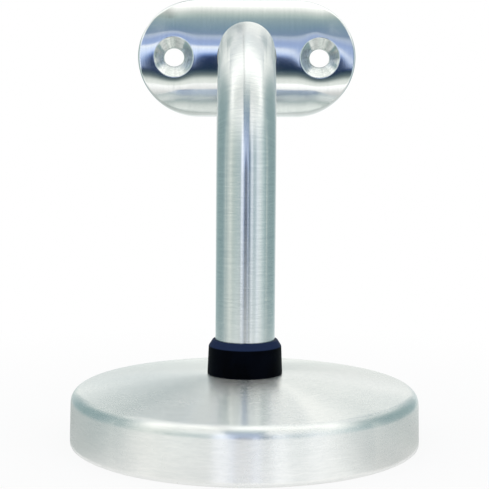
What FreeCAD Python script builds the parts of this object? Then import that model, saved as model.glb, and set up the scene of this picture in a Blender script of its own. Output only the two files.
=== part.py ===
import FreeCAD, Part
import math
import os
from FreeCAD import Vector

# Wall bracket for a round handrail, standing on its wall side.
#
# Frame: the origin is the centre of the wall plane, under the rod. +Z points out of the
# wall along the rod's straight leg, +Y points from the rod to the rail, and +X runs along
# the rail. The bracket is a mirror image of itself about the plane X = 0.
# All sizes are in millimetres and all angles in degrees.

# ---- driving dimensions -----------------------------------------------------------

# Round rod that carries the rail
rod_diameter = 13.0
bend_radius = 28.0          # centre line of the right-angle bend
rail_height = 86.7          # wall plane to the centre line of the rod's upper leg
arm_reach = 56.0            # rod's straight leg to the crest of the saddle
rod_foot_recess = 1.0       # how far the rod's foot stays back from the wall plane

# Saddle plate under the rail, rolled to the rail's own curve
rail_diameter = 42.4
saddle_thickness = 4.0
saddle_length = 56.5        # along the rail, over both rounded ends
saddle_chord = 30.5         # height of the plate as seen along the rod's upper leg
saddle_edge_round = 0.4

# Countersunk screw holes in the saddle
saddle_hole_spacing = 38.0
saddle_hole_diameter = 5.2
countersink_diameter = 10.2
countersink_angle = 90.0
countersink_sink = 0.35     # depth of the countersink's rim under the saddle's crest

# Flange that is screwed to the wall
flange_diameter = 71.0
flange_thickness = 6.0
flange_edge_chamfer = 0.6
wall_hole_count = 3
wall_hole_circle = 50.0
wall_hole_diameter = 6.5
wall_hole_start_angle = 90.0

# Cover cap over the flange: one drawn sheet steel shell
cap_sheet = 1.2
cap_flange_gap = 1.4        # air between the flange's edge and the cap, at the wall
cap_draft_angle = 1.4       # lean of the side wall
cap_side_height = 9.1       # wall plane to where the shoulder starts
cap_shoulder_radius = 2.7
cap_dome_rise = 3.2         # rise of the crown, measured as if it had no hole or land
cap_land_width = 2.0        # flat ring round the hole, which the collar sits on

# Rubber collar between the cap and the rod
collar_neck_wall = 0.7      # rubber between the rod and the edge of the cap's hole
collar_overhang = 0.85      # how far the collar's foot reaches over the edge of the hole
collar_taper = 0.25         # how much less it reaches out where its chamfer starts
collar_height = 7.5         # above the cap's land
collar_chamfer = 1.4        # height of the sloping top edge
collar_top_wall = 0.5       # wall left round the rod at the very top
collar_lip_width = 1.5      # how far the lower lip reaches under the cap
collar_lip_thickness = 1.2

# Fillet weld beads
flange_weld_leg = 3.0
saddle_weld_leg = 1.2
weld_hollow = 0.15          # how far a bead's face is hollowed, at its middle

# Clearances
rod_bore_clearance = 0.05   # rod in the flange's bore, radial
collar_running_clearance = 0.05   # rod in the collar's bore, radial
collar_neck_clearance = 0.1       # collar's neck in the cap's hole, radial

# ---- values worked out from them --------------------------------------------------

rod_radius = rod_diameter / 2
rail_radius = rail_diameter / 2
saddle_outer_radius = rail_radius + saddle_thickness
rail_axis_y = arm_reach + saddle_outer_radius
cap_radius = flange_diameter / 2 + cap_flange_gap + cap_sheet
collar_bore_radius = rod_radius + collar_running_clearance
collar_neck_radius = collar_bore_radius + collar_neck_wall
cap_hole_radius = collar_neck_radius + collar_neck_clearance
cap_land_radius = cap_hole_radius + cap_land_width
collar_radius = cap_hole_radius + collar_overhang
MARGIN = 1.0                # how far a cutting tool reaches past what it cuts
TOUCH = 0.01                # closer than this, a point counts as lying on a curve

X_AXIS = Vector(1, 0, 0)
Y_AXIS = Vector(0, 1, 0)
Z_AXIS = Vector(0, 0, 1)


# ---- helpers ----------------------------------------------------------------------

def rz(radius, height):
    """A point of a profile that will be turned about the Z axis."""
    return Vector(radius, 0, height)


def line(start, end):
    return Part.LineSegment(start, end).toShape()


def arc(start, middle, end):
    return Part.Arc(start, middle, end).toShape()


def turned(edges):
    """Turn a closed profile in the XZ plane into a solid round the Z axis."""
    face = Part.Face(Part.Wire(Part.sortEdges(edges)[0]))
    return face.revolve(Vector(0, 0, 0), Z_AXIS, 360)


def polygon(points):
    """Straight edges that close a list of points."""
    return [line(a, b) for a, b in zip(points, points[1:] + points[:1])]


def cylinder(radius, length, start, direction):
    return Part.makeCylinder(radius, length, start, direction)


def polar_point(radius, angle, height):
    turn = math.radians(angle)
    return Vector(radius * math.cos(turn), radius * math.sin(turn), height)


def bead_profile(inner_radius, leg, floor, hidden):
    """Section of a fillet weld bead round a rod.

    Its hollow face is an arc from the rod, one leg above the floor, to the floor, one leg
    out from the rod. The part below the floor is cut away by what the bead lies on.
    """
    top = rz(inner_radius, floor + leg)
    toe = rz(inner_radius + leg, floor)
    middle = rz(inner_radius + leg / 2 - weld_hollow, floor + leg / 2 - weld_hollow)
    edges = [arc(top, middle, toe)]
    if hidden > 0:
        low_toe = rz(inner_radius + leg, floor - hidden)
        low_root = rz(inner_radius, floor - hidden)
        edges += [line(toe, low_toe), line(low_toe, low_root), line(low_root, top)]
    else:
        root = rz(inner_radius, floor)
        edges += [line(toe, root), line(root, top)]
    return edges


# ---- the wall flange and its weld -------------------------------------------------

def make_wall_flange():
    """Turned plate with a bore for the rod and a ring of screw holes."""
    radius = flange_diameter / 2
    bore = rod_radius + rod_bore_clearance
    plate = turned(polygon([
        rz(bore, 0),
        rz(radius, 0),
        rz(radius, flange_thickness - flange_edge_chamfer),
        rz(radius - flange_edge_chamfer, flange_thickness),
        rz(bore, flange_thickness),
    ]))
    for index in range(wall_hole_count):
        angle = wall_hole_start_angle + index * 360 / wall_hole_count
        start = polar_point(wall_hole_circle / 2, angle, -MARGIN)
        hole = cylinder(wall_hole_diameter / 2, flange_thickness + 2 * MARGIN, start, Z_AXIS)
        plate = plate.cut(hole)
    return plate


def make_flange_weld():
    """Bead in the corner between the flange's outer face and the rod."""
    return turned(bead_profile(rod_radius, flange_weld_leg, flange_thickness, 0))


# ---- the bent rod -----------------------------------------------------------------

def saddle_body(radius, extra):
    """Solid round bar along the rail, of the given radius."""
    length = saddle_length + 2 * extra
    start = Vector(-length / 2, rail_axis_y, rail_height)
    return cylinder(radius, length, start, X_AXIS)


def make_arm_rod():
    """Straight leg, right-angle bend and upper leg, with its end coped to the saddle."""
    bend_start = rail_height - bend_radius
    foot = Vector(0, 0, rod_foot_recess)
    knee = Vector(0, 0, bend_start)
    bend_centre_y = bend_radius
    halfway = bend_radius * (1 - math.cos(math.pi / 4))
    rise = bend_radius * math.sin(math.pi / 4)
    bend_middle = Vector(0, halfway, bend_start + rise)
    bend_end = Vector(0, bend_centre_y, rail_height)
    far_end = Vector(0, arm_reach + saddle_thickness, rail_height)
    path = Part.Wire([
        line(foot, knee),
        arc(knee, bend_middle, bend_end),
        line(bend_end, far_end),
    ])
    section = Part.Wire(Part.makeCircle(rod_radius, foot, Z_AXIS))
    rod = path.makePipeShell([section], True, False)
    return rod.cut(saddle_body(saddle_outer_radius, MARGIN))


# ---- the saddle and its weld ------------------------------------------------------

def saddle_outline_prism():
    """Bar along Y with a stadium section: two half circles joined by straight sides."""
    end_radius = saddle_chord / 2
    half_straight = saddle_length / 2 - end_radius
    depth = arm_reach - MARGIN
    corners = [
        Vector(-half_straight, depth, rail_height + end_radius),
        Vector(half_straight, depth, rail_height + end_radius),
        Vector(half_straight, depth, rail_height - end_radius),
        Vector(-half_straight, depth, rail_height - end_radius),
    ]
    right_tip = Vector(saddle_length / 2, depth, rail_height)
    left_tip = Vector(-saddle_length / 2, depth, rail_height)
    outline = Part.Wire([
        line(corners[0], corners[1]),
        arc(corners[1], right_tip, corners[2]),
        line(corners[2], corners[3]),
        arc(corners[3], left_tip, corners[0]),
    ])
    return Part.Face(outline).extrude(Vector(0, saddle_outer_radius + MARGIN, 0))


def screw_hole_tool(x):
    """Drill and countersink in one: a rim, a cone and a bore along +Y."""
    hole_radius = saddle_hole_diameter / 2
    rim_radius = countersink_diameter / 2
    slope = math.tan(math.radians(countersink_angle / 2))
    cone_depth = (rim_radius - hole_radius) / slope
    rim_y = arm_reach + countersink_sink
    rim_start = Vector(x, arm_reach - MARGIN, rail_height)
    rim = cylinder(rim_radius, countersink_sink + MARGIN, rim_start, Y_AXIS)
    cone = Part.makeCone(rim_radius, hole_radius, cone_depth, Vector(x, rim_y, rail_height), Y_AXIS)
    bore_start = Vector(x, arm_reach, rail_height)
    bore = cylinder(hole_radius, saddle_thickness + MARGIN, bore_start, Y_AXIS)
    return rim.fuse([cone, bore]).removeSplitter()


def outline_edges(plate):
    """The edges round the plate's rim: those that lie on the stadium outline."""
    end_radius = saddle_chord / 2
    half_straight = saddle_length / 2 - end_radius
    found = []
    for edge in plate.Edges:
        middle = edge.valueAt((edge.FirstParameter + edge.LastParameter) / 2)
        out_x = max(abs(middle.x) - half_straight, 0)
        reach = math.hypot(out_x, middle.z - rail_height)
        along_outline = abs(reach - end_radius) < TOUCH
        crosses_sheet = edge.BoundBox.XLength < TOUCH
        if along_outline and not crosses_sheet:
            found.append(edge)
    return found


def make_saddle_plate():
    """Plate rolled to the rail, with a stadium outline and two countersunk holes."""
    shell = saddle_body(saddle_outer_radius, MARGIN).cut(saddle_body(rail_radius, 2 * MARGIN))
    plate = shell.common(saddle_outline_prism())
    plate = plate.makeFillet(saddle_edge_round, outline_edges(plate))
    for side in (-1, 1):
        plate = plate.cut(screw_hole_tool(side * saddle_hole_spacing / 2))
    return plate


def make_saddle_weld():
    """Bead in the corner between the saddle's curved back and the rod's end."""
    edges = bead_profile(rod_radius, saddle_weld_leg, 0, saddle_thickness)
    bead = turned(edges)
    bead.rotate(Vector(0, 0, 0), X_AXIS, 90)
    bead.translate(Vector(0, arm_reach, rail_height))
    return bead.cut(saddle_body(saddle_outer_radius, MARGIN))


# ---- the cover cap ----------------------------------------------------------------

def cap_profile(inset):
    """Points of the cap's section, moved inwards by the inset, from the rim to the hole.

    The side wall leans in by the draft angle, runs tangent into the shoulder's arc, and
    the shoulder runs tangent into the crown, which is part of a sphere. The crown ends at
    the flat land round the hole.
    """
    draft = math.radians(cap_draft_angle)
    side_top_radius = cap_radius - cap_side_height * math.tan(draft)
    shoulder_r = side_top_radius - cap_shoulder_radius * math.cos(draft)
    shoulder_z = cap_side_height - cap_shoulder_radius * math.sin(draft)
    sphere_radius = (shoulder_r ** 2 + cap_dome_rise ** 2) / (2 * cap_dome_rise)
    tilt = math.asin(shoulder_r / (sphere_radius - cap_shoulder_radius))
    sphere_z = shoulder_z - (sphere_radius - cap_shoulder_radius) * math.cos(tilt)

    fillet = cap_shoulder_radius - inset
    sphere = sphere_radius - inset

    def on_shoulder(angle):
        return rz(shoulder_r + fillet * math.cos(angle), shoulder_z + fillet * math.sin(angle))

    def on_crown(radius):
        return rz(radius, sphere_z + math.sqrt(sphere ** 2 - radius ** 2))

    crown_angle = math.pi / 2 - tilt
    crown_start = on_shoulder(crown_angle)
    land_z = sphere_z + math.sqrt(sphere_radius ** 2 - cap_land_radius ** 2) - inset
    crown_end_radius = math.sqrt(sphere ** 2 - (land_z - sphere_z) ** 2)
    return {
        "rim": rz(cap_radius - inset / math.cos(draft), 0),
        "shoulder_start": on_shoulder(draft),
        "shoulder_middle": on_shoulder((draft + crown_angle) / 2),
        "crown_start": crown_start,
        "crown_middle": on_crown((crown_start.x + crown_end_radius) / 2),
        "crown_end": rz(crown_end_radius, land_z),
        "hole_edge": rz(cap_hole_radius, land_z),
    }


def cap_surface_edges(points):
    return [
        line(points["rim"], points["shoulder_start"]),
        arc(points["shoulder_start"], points["shoulder_middle"], points["crown_start"]),
        arc(points["crown_start"], points["crown_middle"], points["crown_end"]),
        line(points["crown_end"], points["hole_edge"]),
    ]


def make_cover_cap():
    """Drawn shell: the outer and inner sections are the same curve, one sheet apart."""
    outer = cap_profile(0)
    inner = cap_profile(cap_sheet)
    edges = cap_surface_edges(outer) + cap_surface_edges(inner)
    edges.append(line(outer["rim"], inner["rim"]))
    edges.append(line(outer["hole_edge"], inner["hole_edge"]))
    return turned(edges)


# ---- the rubber collar ------------------------------------------------------------

def make_collar_ring():
    """Collar above the cap, neck through its hole and lip under it, in one moulding."""
    seat_z = cap_profile(0)["hole_edge"].z
    under_z = cap_profile(cap_sheet)["hole_edge"].z
    lip_radius = cap_hole_radius + collar_lip_width
    top_z = seat_z + collar_height
    return turned(polygon([
        rz(collar_bore_radius, under_z - collar_lip_thickness),
        rz(lip_radius, under_z - collar_lip_thickness),
        rz(lip_radius, under_z),
        rz(collar_neck_radius, under_z),
        rz(collar_neck_radius, seat_z),
        rz(collar_radius, seat_z),
        rz(collar_radius - collar_taper, top_z - collar_chamfer),
        rz(collar_bore_radius + collar_top_wall, top_z),
        rz(collar_bore_radius, top_z),
    ]))


# ---- build and export -------------------------------------------------------------

NODES = {
    "wall_flange": make_wall_flange,
    "flange_weld": make_flange_weld,
    "arm_rod": make_arm_rod,
    "saddle_plate": make_saddle_plate,
    "saddle_weld": make_saddle_weld,
    "cover_cap": make_cover_cap,
    "collar_ring": make_collar_ring,
}

os.makedirs("parts", exist_ok=True)
for name, make in NODES.items():
    shape = make().Solids[0]
    shape.exportStep("parts/" + name + ".step")
    box = shape.BoundBox
    print(
        name, shape.ShapeType, "valid", shape.isValid(), "solids", len(shape.Solids),
        "volume %.1f" % shape.Volume,
        "x %.2f..%.2f y %.2f..%.2f z %.2f..%.2f" % (
            box.XMin, box.XMax, box.YMin, box.YMax, box.ZMin, box.ZMax),
    )

straight_end = rail_height - bend_radius
collar_top = cap_profile(0)["hole_edge"].z + collar_height
print("collar top %.2f, room for the cover to slide %.2f" % (collar_top, straight_end - collar_top))
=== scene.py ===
# %% [markdown]
# # A wall bracket for a round handrail
# This lesson dresses a bent-rod handrail bracket in satin stainless steel and black rubber.
# The construction is already settled: it comes in as a fixed frame, in metres, with its
# origin in the wall plane under the rod, +Z out of the wall and +Y towards the rail.
# Every piece below is made in that same frame, so nothing has to be fitted afterwards.

# %% Load the fixed frame
import math
import bpy
import numpy as np
from mathutils import Matrix, Vector


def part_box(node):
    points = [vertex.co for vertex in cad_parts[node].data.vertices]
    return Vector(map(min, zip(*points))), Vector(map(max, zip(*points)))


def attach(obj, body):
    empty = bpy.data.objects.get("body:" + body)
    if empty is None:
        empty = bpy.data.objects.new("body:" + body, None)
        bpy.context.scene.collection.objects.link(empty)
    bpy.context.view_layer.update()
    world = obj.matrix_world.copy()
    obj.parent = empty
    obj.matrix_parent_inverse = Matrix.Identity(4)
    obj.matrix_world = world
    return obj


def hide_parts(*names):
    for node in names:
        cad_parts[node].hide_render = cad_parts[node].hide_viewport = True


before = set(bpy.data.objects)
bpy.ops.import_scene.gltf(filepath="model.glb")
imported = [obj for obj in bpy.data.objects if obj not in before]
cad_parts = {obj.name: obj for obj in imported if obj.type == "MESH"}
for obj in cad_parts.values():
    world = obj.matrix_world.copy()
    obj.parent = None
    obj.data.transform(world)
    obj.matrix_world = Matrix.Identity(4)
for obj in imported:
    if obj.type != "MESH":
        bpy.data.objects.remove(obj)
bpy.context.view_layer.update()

# %% [markdown]
# ## Sizes
# A maker measures the parts before dressing them. Most sizes can be read from the boxes of
# the frame's own nodes: a turned piece is as wide as its box. The few that a box can't tell,
# such as the bend's radius or the thickness of a sheet, are written down once, in metres.

# %% Measure the pieces
MM = 0.001


def box_of(node):
    """Lowest corner and size of a node's box, as arrays."""
    low, high = (np.array(corner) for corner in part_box(node))
    return low, high - low


rod_low, rod_size = box_of("arm_rod")
saddle_low, saddle_size = box_of("saddle_plate")
cap_low, cap_size = box_of("cover_cap")
collar_low, collar_size = box_of("collar_ring")

ROD_R = rod_size[0] / 2
RAIL_Z = saddle_low[2] + saddle_size[2] / 2
REACH_Y = saddle_low[1]
SADDLE_HALF = saddle_size[0] / 2
CHORD_HALF = saddle_size[2] / 2
CAP_R = cap_size[0] / 2
CAP_TOP = cap_low[2] + cap_size[2]
COLLAR_TOP = collar_low[2] + collar_size[2]

BEND_R = 28.0 * MM
RAIL_R = 21.2 * MM
PLATE = 4.0 * MM
SADDLE_R = RAIL_R + PLATE
RAIL_Y = REACH_Y + SADDLE_R
print("rod %.1f mm, cap %.1f mm, rail centre %.1f mm off the wall" % (
    2000 * ROD_R, 2000 * CAP_R, 1000 * RAIL_Z))

# %% [markdown]
# ## From formulas to meshes
# Turned, bent and rolled pieces are all surfaces of two parameters. Each is worked out as a
# whole numpy grid of points, and one helper turns such grids into a mesh. It stores two more
# things at every point. "grain" is the piece unrolled, so brush lines can follow the way it
# was ground, and "comb" is the direction across those lines, along which metal smears light.

# %% Grids and meshes
def grid_faces(rows, columns, wrap_rows, wrap_columns, first=0):
    """Quads of a grid of rows x columns points, wrapping round where it is closed."""
    r = np.arange(rows if wrap_rows else rows - 1)
    c = np.arange(columns if wrap_columns else columns - 1)
    r, c = np.meshgrid(r, c, indexing="ij")
    r_next, c_next = (r + 1) % rows, (c + 1) % columns
    corners = [r * columns + c, r_next * columns + c,
               r_next * columns + c_next, r * columns + c_next]
    return np.stack(corners, -1).reshape(-1, 4) + first


SAME_PLACE = 0.5 * MM / 1000
SHORTEST_STEP = 1e-7


def make_piece(name, points, quads, grain, comb, finish=None):
    """Mesh object from points, quads, the two guide vectors of every point and, if a piece
    has more than one finish, the number of each quad's finish.

    Points on top of each other become one, so seams and poles close. A quad with two equal
    corners becomes a triangle, and one that has shrunk to a line is left out.
    """
    key = np.round(points / SAME_PLACE).astype(np.int64)
    _, keep, back = np.unique(key, axis=0, return_index=True, return_inverse=True)
    quads = back.reshape(-1)[quads]
    twin = quads == np.roll(quads, -1, axis=1)
    twins = twin.sum(axis=1)
    thin = quads[twins == 1][~twin[twins == 1]].reshape(-1, 3)
    mesh = bpy.data.meshes.new(name)
    mesh.from_pydata(points[keep].tolist(), [], quads[twins == 0].tolist() + thin.tolist())
    for label, values in (("grain", grain), ("comb", comb)):
        layer = mesh.attributes.new(label, "FLOAT_VECTOR", "POINT")
        layer.data.foreach_set("vector", values[keep].astype(np.float32).ravel())
    if finish is not None:
        finish = np.concatenate([finish[twins == 0], finish[twins == 1]])
        mesh.polygons.foreach_set("material_index", finish.astype(np.int32))
    mesh.polygons.foreach_set("use_smooth", np.ones(len(mesh.polygons), bool))
    mesh.update()
    piece = bpy.data.objects.new(name, mesh)
    bpy.context.scene.collection.objects.link(piece)
    print("%s: %d points, %d faces, volume %.0f cubic mm" % (
        name, len(mesh.vertices), len(mesh.polygons), enclosed(points[keep], quads) * 1e9))
    return piece


def enclosed(points, quads):
    """Volume inside the quads, as the sum of the cones from the origin to their triangles.

    It is positive only if the quads close and face outwards.
    """
    a, b, c, d = (points[quads[:, i]] for i in range(4))
    cones = np.cross(a, b) * c + np.cross(a, c) * d
    return cones.sum() / 6

# %% [markdown]
# Most of the bracket is turned or pressed round the Z axis. Such a piece could be lathed with
# a Screw modifier. Here its half section is laid out as a run of points, from straight lines
# and arcs, and then turned by a formula, because that also gives the grain and the comb.

# %% Profiles and turned pieces
def line_points(a, b, count):
    """Points from a to b, both ends included."""
    t = np.linspace(0, 1, count)[:, None]
    return np.array(a) + t * (np.array(b) - np.array(a))


def arc_points(centre, radius, start, end, count):
    """Points on a circle, between two angles in radians."""
    t = np.linspace(start, end, count)
    return np.array(centre) + radius * np.stack([np.cos(t), np.sin(t)], -1)


def join_runs(*runs):
    """Runs of profile points in one, without points that repeat the one before."""
    points = np.concatenate(runs)
    step = np.linalg.norm(np.diff(points, axis=0), axis=1)
    return points[np.concatenate([[True], step > SHORTEST_STEP])]


def round_axis(r, a, z):
    """Points (r cos a, r sin a, z) for whole grids of r, a and z."""
    return np.stack(np.broadcast_arrays(r * np.cos(a), r * np.sin(a), z), -1)


def turned_piece(name, profile, around):
    """Turn a closed profile of (radius, height) points about the Z axis.

    Point = (r cos a, r sin a, z). Going up the profile's outer side makes the faces point
    outwards. The grain unrolls it: x is the way along the profile, y and z go round.
    """
    a = np.linspace(0, 2 * np.pi, around, endpoint=False)[:, None]
    r, z = profile[None, :, 0], profile[None, :, 1]
    step = np.roll(profile, -1, axis=0) - np.roll(profile, 1, axis=0)
    step = (step / np.linalg.norm(step, axis=1)[:, None])[None]
    walked = np.cumsum(np.linalg.norm(profile - np.roll(profile, 1, axis=0), axis=1))
    grids = (round_axis(r, a, z), round_axis(r, a, walked[None])[..., [2, 0, 1]],
             round_axis(step[..., 0], a, step[..., 1]))
    points, grain, comb = (grid.reshape(-1, 3) for grid in grids)
    return make_piece(name, points, grid_faces(around, len(profile), True, True), grain, comb)

# %% [markdown]
# Each new piece takes the place of a node of the frame, and has to know which body it moves
# with.

# %% Dressing the frame
def dress(piece, body, node):
    """A piece rides on a body and stands for a node of the frame."""
    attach(piece, body)
    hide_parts(node)
    return piece

# %% [markdown]
# ## The cover cap
# The real cap is one disc of sheet steel, pressed to a shallow dome with a tight shoulder and
# a nearly upright side wall, then ground to a satin finish. A bevelled cylinder would come
# close. A turned profile gets it exactly: side wall, shoulder and crown run tangent into one
# another, which matters because steel shows every kink in the way it reflects, and the
# inside repeats the outside one sheet further in.

# %% Cover cap
CAP_SHEET = 1.2 * MM
CAP_SIDE = 9.1 * MM
CAP_SHOULDER = 2.7 * MM
CAP_RISE = 3.2 * MM
CAP_DRAFT = math.radians(1.4)
CAP_LAND = 2.0 * MM
CAP_HOLE = 7.35 * MM
CAP_RIM_ROUND = 0.3 * MM
WALL_ROWS, SHOULDER_ROWS, CROWN_ROWS, LAND_ROWS, FOOT_ROWS = 12, 28, 40, 5, 3


def cap_line(inset):
    """Half section of the cap, moved inwards by the inset, from the rim to the hole.

    Side wall: straight, leaning in by the draft. Shoulder: an arc tangent to it. Crown: part
    of a sphere tangent to the shoulder. Land: a flat ring round the hole.
    """
    shoulder_r = CAP_R - CAP_SIDE * math.tan(CAP_DRAFT) - CAP_SHOULDER * math.cos(CAP_DRAFT)
    shoulder_z = CAP_SIDE - CAP_SHOULDER * math.sin(CAP_DRAFT)
    sphere = (shoulder_r ** 2 + CAP_RISE ** 2) / (2 * CAP_RISE)
    tilt = math.asin(shoulder_r / (sphere - CAP_SHOULDER))
    sphere_z = shoulder_z - (sphere - CAP_SHOULDER) * math.cos(tilt)
    fillet, radius = CAP_SHOULDER - inset, sphere - inset
    land_z = sphere_z + math.sqrt(sphere ** 2 - (CAP_HOLE + CAP_LAND) ** 2) - inset
    land_angle = math.asin((land_z - sphere_z) / radius)
    rim = (CAP_R - inset / math.cos(CAP_DRAFT), CAP_RIM_ROUND)
    wall_top = (shoulder_r + fillet * math.cos(CAP_DRAFT),
                shoulder_z + fillet * math.sin(CAP_DRAFT))
    land_start = (radius * math.cos(land_angle), land_z)
    crown_start = math.pi / 2 - tilt
    return join_runs(
        line_points(rim, wall_top, WALL_ROWS),
        arc_points((shoulder_r, shoulder_z), fillet, CAP_DRAFT, crown_start, SHOULDER_ROWS),
        arc_points((0, sphere_z), radius, crown_start, land_angle, CROWN_ROWS),
        line_points(land_start, (CAP_HOLE, land_z), LAND_ROWS))


outer_line, inner_line = cap_line(0), cap_line(CAP_SHEET)
rim_foot = line_points((CAP_R - CAP_SHEET + CAP_RIM_ROUND, 0), (CAP_R - CAP_RIM_ROUND, 0),
                       FOOT_ROWS)
cap_section = join_runs(outer_line, inner_line[::-1], rim_foot)
cover_cap = turned_piece("satin_cover_cap", cap_section, around=320)
dress(cover_cap, "cover", "cover_cap")

# %% [markdown]
# ## The rubber collar
# A moulded rubber ring fills the gap between the cap and the rod. Its neck sits in the cap's
# hole and a lip underneath keeps it there. Moulded edges are never knife sharp, so every
# corner of the section is cut by a small round before the section is turned.

# %% Rubber collar
COLLAR_R = 8.2 * MM
COLLAR_TAPER = 0.25 * MM
COLLAR_CHAMFER = 1.4 * MM
COLLAR_TOP_WALL = 0.5 * MM
COLLAR_NECK = 7.25 * MM
COLLAR_LIP = 8.85 * MM
COLLAR_LIP_HIGH = 1.2 * MM
COLLAR_ROUND = 0.22 * MM
COLLAR_GAP = 0.05 * MM
NEARLY_HALF = 0.45


def curve_through(p, corner, q, t):
    """Rounded corner (1-t)^2 p + 2t(1-t) corner + t^2 q, one row for each t."""
    t = np.reshape(t, (-1,) + (1,) * np.ndim(p))
    return (1 - t) ** 2 * p + 2 * t * (1 - t) * corner + t ** 2 * q


def rounded(corners, radius, count=5):
    """Closed profile through the corners, each cut by a small round.

    A round begins and ends one radius from its corner, or nearly half way along a side that
    is too short for that.
    """
    corner = np.array(corners, float)

    def cut(neighbour):
        """Points on the way from the corners to their neighbours, where the rounds begin."""
        side = neighbour - corner
        reach = np.minimum(radius / np.linalg.norm(side, axis=1), NEARLY_HALF)[:, None]
        return corner + side * reach

    p, q = cut(np.roll(corner, 1, axis=0)), cut(np.roll(corner, -1, axis=0))
    rounds = curve_through(p, corner, q, np.linspace(0, 1, count))
    return join_runs(rounds.swapaxes(0, 1).reshape(-1, 2))


under_z = CAP_TOP - CAP_SHEET
collar_bore = ROD_R + COLLAR_GAP
collar_section = rounded([
    (collar_bore, under_z - COLLAR_LIP_HIGH), (COLLAR_LIP, under_z - COLLAR_LIP_HIGH),
    (COLLAR_LIP, under_z), (COLLAR_NECK, under_z), (COLLAR_NECK, CAP_TOP), (COLLAR_R, CAP_TOP),
    (COLLAR_R - COLLAR_TAPER, COLLAR_TOP - COLLAR_CHAMFER),
    (collar_bore + COLLAR_TOP_WALL, COLLAR_TOP), (collar_bore, COLLAR_TOP)], COLLAR_ROUND)
collar_ring = turned_piece("rubber_collar", collar_section, around=192)
dress(collar_ring, "cover", "collar_ring")

# %% [markdown]
# ## The bent rod
# The arm is cold-drawn round bar, bent once through a right angle and ground lengthwise. It is
# a circle carried along a path: straight, quarter turn, straight. The far end isn't flat: it
# follows the saddle's back, as a coped tube end does, so the weld has no gap to bridge.

# %% Bent rod
ARM_SLOPE = 1.57
LEG_ROWS, BEND_ROWS, ARM_ROWS = 60, 72, 30


def rod_path():
    """Centre line as y, z and slope, from the foot, round the bend, to the saddle.

    Leg: y = 0. Bend: y = B(1 - cos s), z = knee + B sin s for slope s. Arm: z = rail height.
    """
    knee = RAIL_Z - BEND_R
    leg = np.linspace(rod_low[2], knee, LEG_ROWS)
    turn = np.linspace(0, np.pi / 2, BEND_ROWS)[1:]
    arm = np.linspace(BEND_R, REACH_Y + PLATE, ARM_ROWS)[1:]
    y = np.concatenate([0 * leg, BEND_R * (1 - np.cos(turn)), arm])
    z = np.concatenate([leg, knee + BEND_R * np.sin(turn), 0 * arm + RAIL_Z])
    slope = np.concatenate([0 * leg, turn, 0 * arm + np.pi / 2])
    return y, z, slope


def make_rod(name, around):
    """Point = centre + R (cos a, -sin a cos s, sin a sin s), s being the path's slope.

    Where the arm, with its slope of a quarter turn, would run into the saddle, y stops at
    the saddle's front cylinder.
    """
    y, z, slope = (part[:, None] for part in rod_path())
    a = np.linspace(0, 2 * np.pi, around, endpoint=False)[None, :]
    flat = 0 * a + 0 * y
    px = ROD_R * np.cos(a) + flat
    py = y - ROD_R * np.sin(a) * np.cos(slope)
    pz = z + ROD_R * np.sin(a) * np.sin(slope)
    offset = np.minimum(np.abs(pz - RAIL_Z), ROD_R)
    saddle_front = RAIL_Y - np.sqrt(SADDLE_R ** 2 - offset ** 2)
    py = np.where(slope > ARM_SLOPE, np.minimum(py, saddle_front), py)
    step = np.hypot(np.diff(y[:, 0]), np.diff(z[:, 0]))
    along = np.concatenate([[0], np.cumsum(step)])[:, None]
    points = np.stack([px, py, pz], -1)
    grain = np.stack([ROD_R * np.cos(a) + flat, ROD_R * np.sin(a) + flat, along + flat], -1)
    comb = np.stack([flat, np.sin(slope) + flat, np.cos(slope) + flat], -1)

    def capped(rows):
        """The grid with its first and last ring shrunk to their middle, as end faces."""
        middles = rows[[0, -1]].mean(axis=1, keepdims=True) + 0 * rows[[0, -1]]
        return np.concatenate([middles[:1], rows, middles[1:]]).reshape(-1, 3)

    quads = grid_faces(len(y) + 2, around, False, True)
    return make_piece(name, capped(points), quads, capped(grain), capped(comb))


arm_rod = make_rod("satin_bent_rod", around=160)
dress(arm_rod, "bracket", "arm_rod")

# %% [markdown]
# ## The saddle plate
# The saddle is a flat blank with rounded ends that is drilled, countersunk and only then
# rolled to the rail's curve. Rolling leaves its marks: the plate stays a little flatter above
# and below each hole, and the bores close up on the inside. Those small errors make the
# reflections swing round the holes. One half of the plate is a set of rays that run from the
# edge of its hole out to the outline, so both edges are followed exactly. The other half is
# its mirror image, and the two halves share their points on the middle line.

# %% Heights of the plate
HOLE_X = 19.0 * MM
HOLE_FLAT, HOLE_FLAT_SHARE = 0.40 * MM, 0.7
HOLE_FLAT_INNER, HOLE_FLAT_OUTER, HOLE_FLAT_TALL = 3.4 * MM, 4.4 * MM, 7.6 * MM
SINK_R = np.array([5.05, 5.2]) * MM
BORE_R = np.array([2.62, 2.36]) * MM
BORE_DEPTH = 2.5 * MM
SINK_LIP = 0.22 * MM
PLATE_ROUND = 0.45 * MM
BACK_ROUND = 1.12 * MM


def rolled(z, radius):
    """Near side of a cylinder round the rail's axis: y = axis - sqrt(radius^2 - dz^2)."""
    return RAIL_Y - np.sqrt(radius ** 2 - (z - RAIL_Z) ** 2)


def front_y(x, z):
    """The plate's front: the rolled curve, eased towards a plane round each hole.

    The easing is a share of the way to the plane, times exp(-(dx / wide)^2 - (dz / tall)^2):
    beside the hole the plate bends as usual, above and below it the metal stays flatter. It
    fades sooner towards the rod than towards the plate's end.
    """
    curve = rolled(z, SADDLE_R)
    dx = np.abs(x) - HOLE_X
    wide = np.where(dx > 0, HOLE_FLAT_OUTER, HOLE_FLAT_INNER)
    off = (dx / wide) ** 2 + ((z - RAIL_Z) / HOLE_FLAT_TALL) ** 2
    return curve + (REACH_Y + HOLE_FLAT - curve) * HOLE_FLAT_SHARE * np.exp(-off)


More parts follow.
